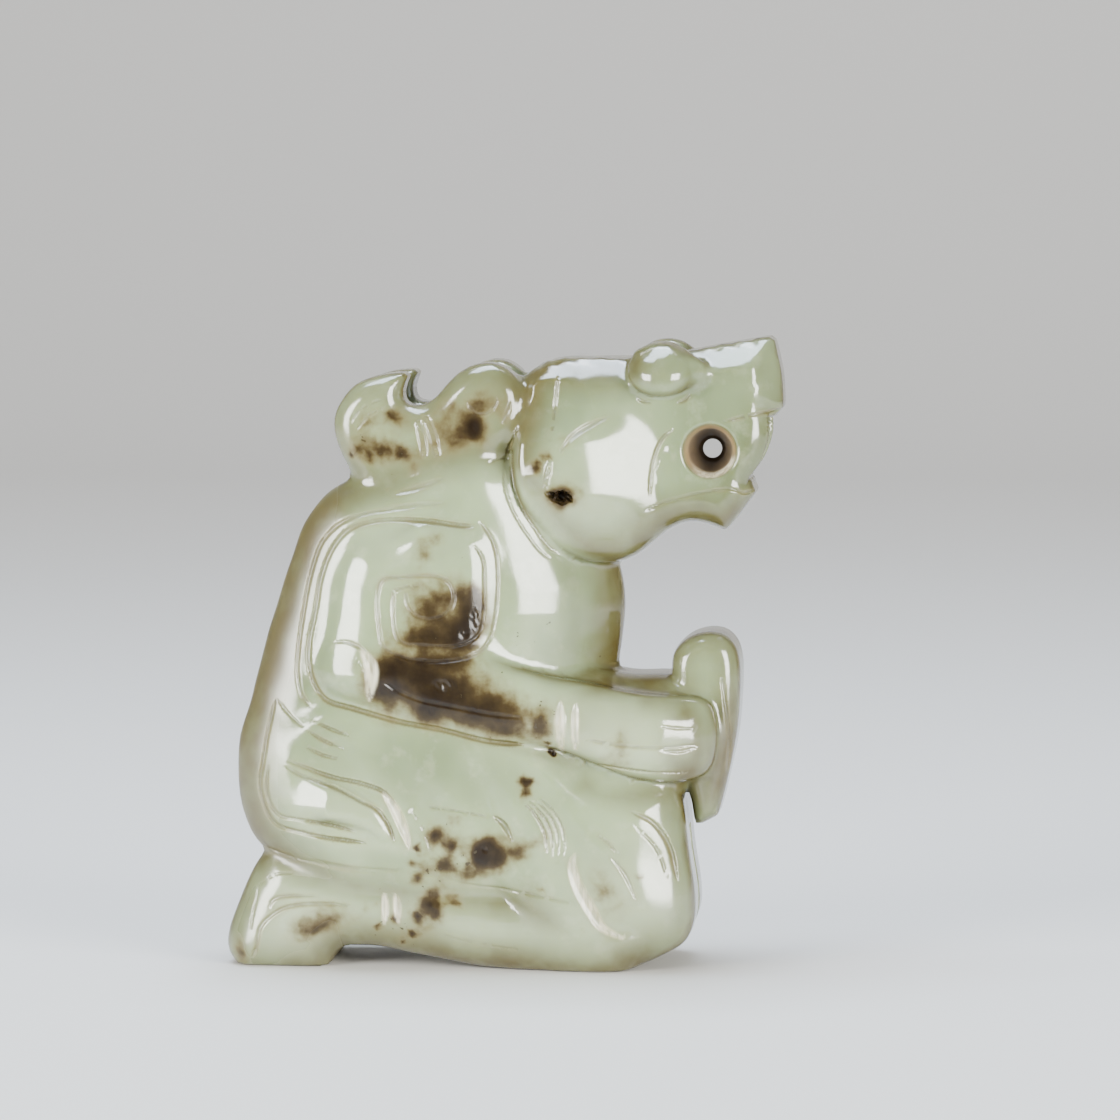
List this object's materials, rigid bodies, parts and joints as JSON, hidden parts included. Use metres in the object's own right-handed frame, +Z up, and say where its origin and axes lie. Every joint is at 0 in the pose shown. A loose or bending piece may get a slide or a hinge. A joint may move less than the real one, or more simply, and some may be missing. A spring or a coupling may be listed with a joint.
{
  "type": "jade kneeling beast-headed figure",
  "caption": "Small carved jade pendant figure: a person kneels back on the heels, with a raised beast's muzzle and hooked horns, holding a tablet upright.",
  "frame": {"origin": "centre of the carving's bounding box, at its base", "axes": "+X the way the figure faces, +Y across the figure to its left side, +Z up"},
  "size_m": [0.0562, 0.0248, 0.0635],
  "materials": {
    "jade": "polished pale celadon nephrite with brown inclusions"
  },
  "bodies": {
    "root": {"jade_figure": "jade"}
  },
  "joints": []
}
